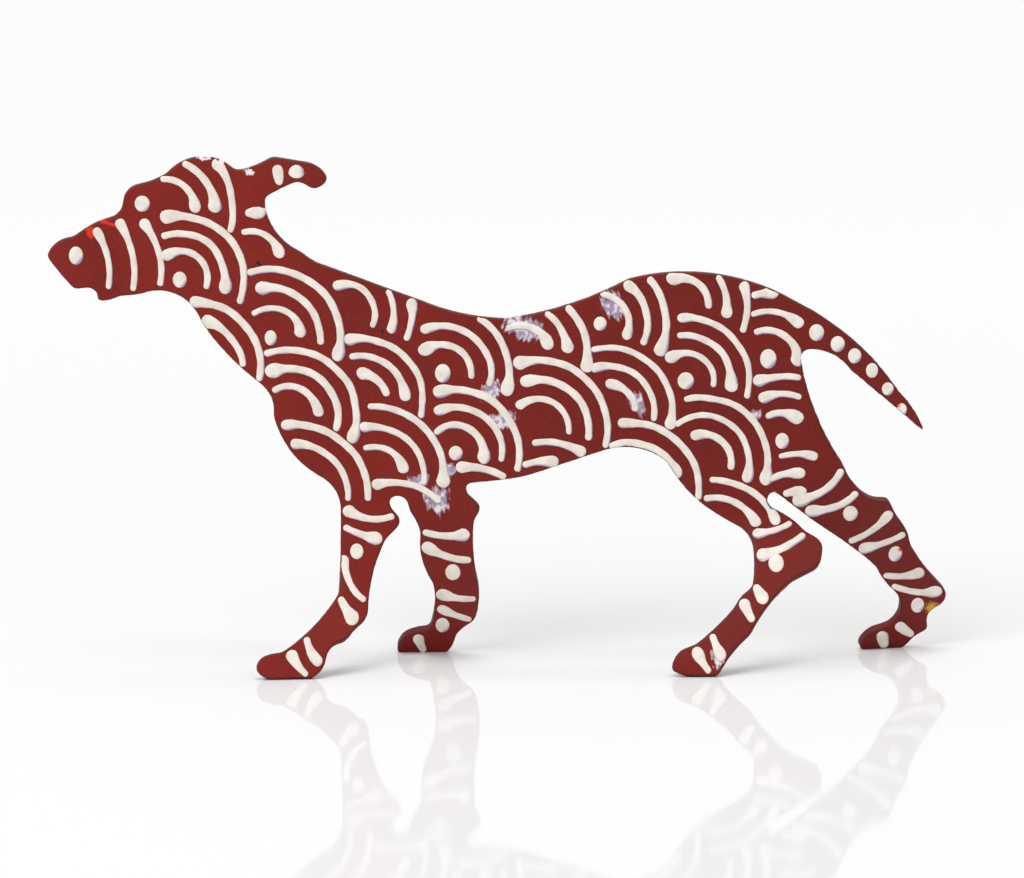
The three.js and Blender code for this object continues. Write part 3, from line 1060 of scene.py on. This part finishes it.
    def _limbs(self) -> None:
        """Draws bars across each leg, with a dot after every second bar."""
        first, last_gap, after_dot, after_bar = 5.0, 2, 10.5, 9.5
        lean, bow_reach, bar_reach = 20, 12, 17
        for limb in self.limbs:
            lengths = [math.dist(a, b) for a, b in zip(limb, limb[1:])]
            total, place, count = sum(lengths), first, 0
            while place < total - last_gap:
                left, k = place, 0
                while k < len(lengths) - 1 and left > lengths[k]:
                    left -= lengths[k]
                    k += 1
                (x0, z0), (x1, z1) = limb[k], limb[k + 1]
                f = left / lengths[k]
                x, z = x0 + (x1 - x0) * f, z0 + (z1 - z0) * f
                dx, dz = (x1 - x0) / lengths[k], (z1 - z0) / lengths[k]
                if count % 3 == 2:
                    if self._free(x, z, self.dot + 1.2):
                        self.dots.append(Dot(x, z, self.dot * self.hand.uniform(0.9, 1.05)))
                    place += after_dot
                else:
                    tilt = math.radians(self.hand.uniform(-12, 12) + lean)
                    bx = -dz * math.cos(tilt) + dx * math.sin(tilt)
                    bz = dx * math.cos(tilt) + dz * math.sin(tilt)
                    bow = self.hand.uniform(1.5, 3.8)
                    path = []
                    for i in range(-40, 41):
                        s = i * 0.5
                        lift = bow * (1 - (s / bow_reach) ** 2)
                        path.append((x + bx * s + dx * lift, z + bz * s + dz * lift))
                    if self.hand.random() < 0.4:
                        path.reverse()
                    near = [p for p in path if math.dist(p, (x, z)) < bar_reach]
                    self._keep(near, 1.0, lambda px, pz: False, 5.0)
                    place += after_bar
                count += 1

    def _head(self) -> None:
        """Draws the muzzle's bars, the nose dot, the eye and the dabs of the ear."""
        nose, eye = Dot(-187.0, 185.0, 3.6), Dot(-157.5, 208.0, 3.5)
        self.dots += [nose, eye]
        muzzle_bars = ((-176.0, 3.0, 170, 198), (-166.0, 4.2, 166, 202), (-155.0, 5.2, 166, 201))
        ear_dabs = ((-98.0, 220.0, 8.0), (-89.0, 222.0, -4.0))
        for centre, bow, low, high in muzzle_bars:
            path = []
            for i in range(81):
                z = low + (high - low) * i / 80
                s = (i - 40) / 40
                path.append((centre + bow * (1 - s * s) - 3.0 * s, z))
            path.reverse()
            self._keep(path, 1.8, lambda x, z: False, 6.0)
        for x, z, lean in ear_dabs:
            slant = math.sin(math.radians(lean))
            path = [(x + slant * s * 0.5, z + 5 - s * 0.5) for s in range(25)]
            self._keep(path, 1.6, lambda px, pz: False, 3.0, 4.0)

    def _tail(self) -> None:
        """Draws six shrinking dots down the tail."""
        root, tip, stray = (140.5, 150.0), (178.0, 115.5), 0.6
        for i in range(6):
            f = i / 5
            x = root[0] + (tip[0] - root[0]) * f + 2.0 * math.sin(f * math.pi)
            z = root[1] + (tip[1] - root[1]) * f + 3.0 * math.sin(f * math.pi)
            x, z = x + self.hand.uniform(-stray, stray), z + self.hand.uniform(-stray, stray)
            self.dots.append(Dot(x, z, 3.6 - f))


@dataclass
class PaintBeads:
    """Raised beads and dots of thick paint on one side of the plate."""

    sheet: BentSheet
    outline: FineOutline
    side: Side
    height: float = 0.5
    sunk: float = 0.25
    across: tuple[float, ...] = (-1.0, -0.93, -0.74, -0.4, 0.0, 0.4, 0.74, 0.93, 1.0)
    end_share: float = 0.42
    stop_step: float = 2.0
    bulb_length: float = 4.0
    full_half: float = 1.5
    rim_drop: float = 0.05
    edge_inset: float = 0.3
    # direction of the lower right rim on the sheet, which gets painted shade and thinly laid paint
    painted_shade_side: Point = (0.64, 0.77)

    def build(self, name: str, ornament: Ornament, material: bpy.types.Material) -> bpy.types.Object:
        """Models every stroke and dot of an ornament as one piece.

        Args:
            name: the piece's name.
            ornament: the strokes and dots to lay.
            material: the paint.

        Returns:
            The piece.
        """
        bm = bmesh.new()
        layers = (bm.verts.layers.int.new("column"), bm.verts.layers.int.new("row"))
        thin_paint_and_painted_shade = bm.verts.layers.float.new("thin_paint_and_painted_shade")
        for stroke in ornament.strokes:
            self._stroke(bm, layers, thin_paint_and_painted_shade, stroke)
        for dot in ornament.dots:
            self._dot(bm, thin_paint_and_painted_shade, dot)
        bmesh.ops.recalc_face_normals(bm, faces=bm.faces)
        return finished(name, bm, material)

    def _settle(self, x: float, z: float, lift: float) -> Vector:
        """Lays a point on the plate's face, rolling over the soft arris near the edge.

        Args:
            x: place on the flat sheet.
            z: height on the flat sheet.
            lift: how far the paint stands off the face.

        Returns:
            The point on the bent dog, in metres.
        """
        deep, (nx, nz) = self.outline.inset(x, z)
        short = self.edge_inset - deep
        if short > 0:
            x, z, deep = x + nx * short, z + nz * short, self.edge_inset
        radius, roll = self.sheet.arris_radius, 0.0
        if deep < radius:
            roll = radius - math.sqrt(max(0.0, radius ** 2 - (radius - deep) ** 2))
        depth = self.sheet.thickness / 2 - roll + lift
        return self.sheet.place(x, z, self.side.value * depth)

    def _stops(self, length: float, start: float, end: float) -> list[float]:
        """Where a stroke's cross-sections stand, closer together at its rounded ends.

        Args:
            length: the stroke's length.
            start: the length of its rounded start.
            end: the length of its rounded end.

        Returns:
            Distances from the stroke's start, in order.
        """
        caps = [1 - math.cos(math.radians(angle)) for angle in (12, 35, 60)]
        body = length - start - end
        middle = max(2, int(body / self.stop_step))
        return [
            *(start * cap for cap in caps),
            *(start + body * i / middle for i in range(middle + 1)),
            *(length - end * cap for cap in reversed(caps)),
        ]

    def _stroke(self, bm: bmesh.types.BMesh, layers: tuple, thin_paint_and_painted_shade: bmesh.types.BMLayerItem,
                stroke: Stroke) -> None:
        """Lays one stroke as a rounded bead with a fat start and a tapering end.

        Args:
            bm: the paint.
            layers: the column and row layers, which say where in the grid a vertex is.
            thin_paint_and_painted_shade: the layer that says how much violet-grey a point gets, from
                thinly laid paint and painted shade on the lower right rim.
            stroke: the stroke to lay.
        """
        path = stroke.path
        runs = run_lengths(path)
        length = runs[-1]
        start, end = stroke.width * stroke.bulb / 2, stroke.width * self.end_share
        stops = self._stops(length, start, end)
        made = bmesh.ops.create_grid(
            bm, x_segments=len(stops) - 1, y_segments=len(self.across) - 1, size=1.0)
        column, row = layers
        for vert in made["verts"]:
            vert[column] = round((vert.co.x + 1) / 2 * (len(stops) - 1))
            vert[row] = round((vert.co.y + 1) / 2 * (len(self.across) - 1))
        faces = list({face for vert in made["verts"] for face in vert.link_faces})
        raised = bmesh.ops.extrude_face_region(bm, geom=faces)["geom"]
        top = {item for item in raised if isinstance(item, bmesh.types.BMVert)}
        places = []
        j = 0
        for stop in stops:
            while j < len(runs) - 2 and runs[j + 1] < stop:
                j += 1
            f = (stop - runs[j]) / max(runs[j + 1] - runs[j], 1e-9)
            (x0, z0), (x1, z1) = path[j], path[j + 1]
            size = math.dist((x0, z0), (x1, z1)) or 1.0
            swell = math.exp(-((max(stop - start, 0) / self.bulb_length) ** 2))
            taper = stroke.width * (1 + (stroke.bulb - 1) * swell)
            taper *= 1 - 0.1 * stop / length + 0.05 * math.sin(stop * 0.9 + path[0][0])
            half = taper / 2
            if stop < start:
                rounding = math.sqrt(max(0.0, 1 - ((start - stop) / start) ** 2))
                half = start * rounding * taper / 2 / start
            elif stop > length - end:
                half *= math.sqrt(max(0.0, 1 - ((stop - length + end) / end) ** 2))
            x, z = x0 + (x1 - x0) * f, z0 + (z1 - z0) * f
            places.append((x, z, (z0 - z1) / size, (x1 - x0) / size, half))
        for vert in set(made["verts"]) | top:
            x, z, sx, sz, half = places[vert[column]]
            u = self.across[vert[row]]
            px, pz = x + sx * u * half, z + sz * u * half
            at_end, at_rim = vert[column] in (0, len(stops) - 1), abs(u) > 0.99
            lift = -self.sunk
            if vert in top:
                crown = self.height * min(1.0, half / self.full_half) * (1 - abs(u) ** 4) ** 0.5
                lift = crown * (0.3 if at_end else 1.0) - self.rim_drop
                if at_rim:
                    lift = -2 * self.rim_drop
            # painted shade: how far a point lies on the bead's lower right rim, together with thinly
            # laid paint
            lower_right = sx * u * self.painted_shade_side[0] - sz * u * self.painted_shade_side[1]
            vert[thin_paint_and_painted_shade] = max(0.0, lower_right) * abs(u) ** 1.2
            vert.co = self._settle(px, pz, lift)

    def _dot(self, bm: bmesh.types.BMesh, thin_paint_and_painted_shade: bmesh.types.BMLayerItem, dot: Dot) -> None:
        """Lays one dot as a low dome with a steep rim."""
        made = bmesh.ops.create_uvsphere(bm, u_segments=24, v_segments=10, radius=1.0)
        squash = 0.94 + 0.1 * sway(dot.x, dot.z, 0.3, 1.0)
        for vert in made["verts"]:
            x, up, z = vert.co.x, vert.co.z, vert.co.y
            lift = self.height * 1.1 * math.copysign(abs(up) ** 0.6, up) - self.rim_drop
            # painted shade: how far a point lies on the dot's lower right rim, together with thinly
            # laid paint
            lower_right = x * self.painted_shade_side[0] - z * self.painted_shade_side[1]
            vert[thin_paint_and_painted_shade] = max(0.0, lower_right) ** 2 * 0.8
            px, pz = dot.x + x * dot.radius * squash, dot.z + z * dot.radius / squash
            vert.co = self._settle(px, pz, max(lift, -self.sunk))


# ---------------------------------------------------------------------------- the studio


@dataclass
class Studio:
    """A pale glossy floor, soft lights and the camera."""

    distance: float = 3.18
    elevation: float = 9.0
    lens: float = 252.0
    roll: float = -0.2
    aim_x: float = 5.2
    aim_z: float = 101.96
    floor_size: float = 60.0
    sight: float = 60.0
    floor_tone: float = 0.83
    floor_ior: float = 1.09
    sensor: float = 36.0
    seen_white: float = 1.05
    ambient: float = 0.5
    key: float = 1.15
    top: float = 1.3
    box: float = 2.6

    def build(self, sheet: BentSheet) -> None:
        """Makes the floor, the lights and the camera.

        Args:
            sheet: the bent sheet, whose middle the camera looks at.
        """
        aim = Vector((self.aim_x * MM + sheet.shift.x * MM, sheet.shift.y * MM, self.aim_z * MM))
        self._floor()
        self._lights(aim)
        self._camera(aim)

    def _floor(self) -> None:
        """Lays the floor with its pale gloss material."""
        bm = bmesh.new()
        bmesh.ops.create_grid(bm, x_segments=1, y_segments=1, size=self.floor_size / 2)
        mesh = bpy.data.meshes.new("studio_floor")
        bm.to_mesh(mesh)
        bm.free()
        floor = bpy.data.objects.new("studio_floor", mesh)
        bpy.context.scene.collection.objects.link(floor)
        material = bpy.data.materials.new("pale_gloss_floor")
        g = Graph.emptied(material)
        haze = g.texture(g.place(), 30.0, 3.0)
        g.surface({
            "Base Color": (self.floor_tone, self.floor_tone, self.floor_tone, 1.0),
            "Roughness": g.ramp(haze, 0.3, 0.7, 0.03, 0.06), "IOR": self.floor_ior})
        mesh.materials.append(material)

    def _lights(self, aim: Vector) -> None:
        """Hangs a soft key, a soft top light and a soft box, and lights the room evenly."""
        world = bpy.data.worlds.new("white_room")
        bpy.context.scene.world = world
        g = Graph.emptied(world)
        path = g.add("ShaderNodeLightPath").outputs
        seen = g.math("MAXIMUM", path["Is Camera Ray"], path["Is Glossy Ray"])
        strength = g.add("ShaderNodeMapRange", {
            0: seen, 1: 0.0, 2: 1.0, 3: self.ambient, 4: self.seen_white}).outputs[0]
        back = g.add("ShaderNodeBackground", {"Color": (1.0, 1.0, 1.0, 1.0), "Strength": strength})
        g.add("ShaderNodeOutputWorld", {"Surface": back.outputs[0]})
        for name, kind, place, spread, power in (
            ("soft_key", "SUN", Vector((-1.4, -2.0, 2.2)), 0.6, self.key),
            ("soft_top", "SUN", Vector((0.1, -0.1, 3.0)), 0.7, self.top),
            ("soft_box_left", "AREA", Vector((-1.1, -1.2, 0.8)), 0.9, self.box),
        ):
            light = bpy.data.lights.new(name, kind)
            light.energy = power
            if kind == "SUN":
                light.angle = spread
            else:
                light.size = spread
            lamp = bpy.data.objects.new(name, light)
            lamp.location = place
            lamp.rotation_euler = (aim - place).to_track_quat("-Z", "Y").to_euler()
            bpy.context.scene.collection.objects.link(lamp)

    def _camera(self, aim: Vector) -> None:
        """Sets the long lens level with the dog and a little above it."""
        data = bpy.data.cameras.new("camera")
        data.lens, data.sensor_width = self.lens, self.sensor
        data.clip_end = self.sight
        camera = bpy.data.objects.new("camera", data)
        tilt = math.radians(self.elevation)
        camera.location = aim + Vector((0.0, -math.cos(tilt), math.sin(tilt))) * self.distance
        camera.rotation_euler = (aim - camera.location).to_track_quat("-Z", "Y").to_euler()
        camera.rotation_euler.rotate_axis("Z", math.radians(self.roll))
        bpy.context.scene.collection.objects.link(camera)
        bpy.context.scene.camera = camera
        bpy.context.scene.view_settings.view_transform = "Standard"


# ---------------------------------------------------------------------------- the scene


def main() -> None:
    """Builds the dog and its studio in order, and reports each piece."""
    logging.basicConfig(level=logging.INFO, format="%(name)s: %(message)s")
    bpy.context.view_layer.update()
    outline = FineOutline()
    sheet = BentSheet()
    low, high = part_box("dog_plate")
    sheet.fit_to(Vector(low), Vector(high), outline.points)
    LOG.info("sheet shift %.2f %.2f mm", sheet.shift.x, sheet.shift.y)
    effects = Effects()
    offset = sheet.shift * MM
    red = RedGround().build(effects, offset)
    cream = CreamPaint().build(effects, offset)
    Studio().build(sheet)
    DogPlate(sheet, outline).build(red)
    PaintBeads(sheet, outline, Side.NEAR).build("cream_paint_near_side", Ornament(outline), cream)
    plain = Ornament(outline, seed=29, facing=118.0, across=50.0, rise=30.0, radii=(13.0, 23.0))
    PaintBeads(sheet, outline, Side.FAR).build("cream_paint_far_side", plain, cream)


if __name__ == "__main__":
    main()
